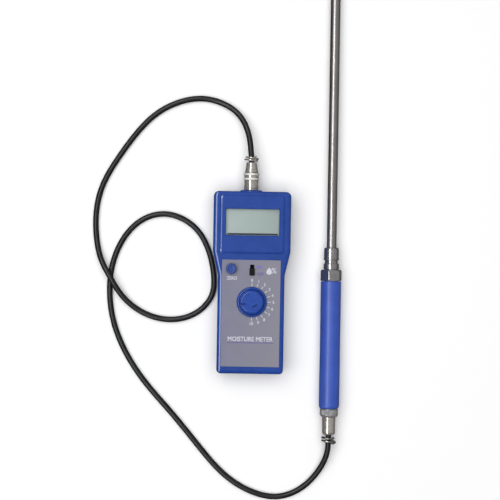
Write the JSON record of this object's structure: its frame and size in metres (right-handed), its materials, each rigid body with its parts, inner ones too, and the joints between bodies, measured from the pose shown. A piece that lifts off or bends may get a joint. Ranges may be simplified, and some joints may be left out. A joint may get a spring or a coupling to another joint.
{
  "type": "grain moisture meter",
  "caption": "Hand-held grain moisture meter with blank display, range dial, zero knob and power switch, wired by a coaxial lead to a long stabbing probe.",
  "frame": {"origin": "middle of the reading unit's flat back face, which rests on the table", "axes": "+Z out of the display side, +Y along the unit towards its socket and along the probe towards its tip, +X across towards the probe"},
  "size_m": [0.2223, 0.7258, 0.0346],
  "materials": {
    "case_blue": "moulded satin-gloss ABS",
    "knob_blue": "moulded satin ABS",
    "handle_blue": "smooth soft-touch sleeve",
    "panel_grey": "printed film, fine texture",
    "display_green": "blank reflective liquid crystal display",
    "clear": "clear pane",
    "black_plastic": "satin",
    "cable_black": "satin PVC jacket",
    "nickel": "nickel plated, turned",
    "steel": "drawn stainless",
    "chrome": "polished plating",
    "aluminium": "satin turned",
    "brass": "turned",
    "board_green": "solder mask on glass-fibre board",
    "white_plastic": "PTFE",
    "battery_silver": "plain metal jacket",
    "wire_red": "insulated wire"
  },
  "bodies": {
    "meter": {"front_shell": "case_blue", "rear_shell": "case_blue", "panel_overlay": "panel_grey", "lcd_window": "clear", "lcd_glass": "display_green", "lcd_holder": "black_plastic", "zebra_strip_upper": "black_plastic", "zebra_strip_lower": "black_plastic", "circuit_board": "board_green", "display_chip": "black_plastic", "sensing_chip": "black_plastic", "dial_potentiometer": "black_plastic", "zero_potentiometer": "black_plastic", "power_switch": "nickel", "battery": "battery_silver", "battery_snap": "black_plastic", "battery_wire_red": "wire_red", "battery_wire_black": "cable_black", "case_screw_1": "steel", "case_screw_2": "steel", "case_screw_3": "steel", "case_screw_4": "steel", "board_screw_1": "steel", "board_screw_2": "steel", "board_screw_3": "steel", "board_screw_4": "steel", "bnc_jack": "nickel", "jack_washer": "steel", "jack_nut": "nickel", "jack_insulator": "white_plastic", "jack_contact": "brass"},
    "dial": {"dial_knob": "knob_blue", "dial_shaft": "aluminium"},
    "zero_adjuster": {"zero_knob": "knob_blue", "zero_shaft": "aluminium"},
    "switch_slider": {"power_slider": "black_plastic"},
    "battery_door": {"battery_cover": "case_blue"},
    "probe": {"plug_body": "nickel", "plug_insulator": "white_plastic", "plug_pin": "brass", "plug_back_shell": "nickel", "plug_spring": "nickel", "cable": "cable_black", "handle_sleeve": "handle_blue", "handle_tube": "steel", "handle_end_cap": "aluminium", "cable_barrel": "nickel", "handle_spring": "steel", "hex_nut": "chrome", "rod_collar": "chrome", "probe_rod": "steel", "rod_bush": "white_plastic", "inner_conductor": "brass", "rod_insulator": "white_plastic", "probe_tip": "steel"},
    "plug_nut": {"coupling_nut": "nickel"}
  },
  "joints": [
    {"name": "dial_turn", "type": "hinge", "parent": "meter", "child": "dial", "pos_m": [0.0008, -0.0169, 0.0268], "axis": [0, 0, 1], "range_deg": [-180, 0]},
    {"name": "zero_turn", "type": "hinge", "parent": "meter", "child": "zero_adjuster", "pos_m": [-0.0175, 0.012, 0.0268], "axis": [0, 0, 1], "range_deg": [-135, 135]},
    {"name": "power_slide", "type": "slide", "parent": "meter", "child": "switch_slider", "axis": [0, 1, 0], "range_m": [0, 0.003]},
    {"name": "battery_cover_slide", "type": "slide", "parent": "meter", "child": "battery_door", "axis": [0, -1, 0], "range_m": [0, 0.052]},
    {"name": "plug_pull", "type": "slide", "parent": "meter", "child": "probe", "axis": [0, 1, 0], "range_m": [0, 0.01]},
    {"name": "coupling_turn", "type": "hinge", "parent": "probe", "child": "plug_nut", "pos_m": [-0.0013, 0.09, 0.014], "axis": [0, 1, 0], "range_deg": [0, 90]}
  ]
}
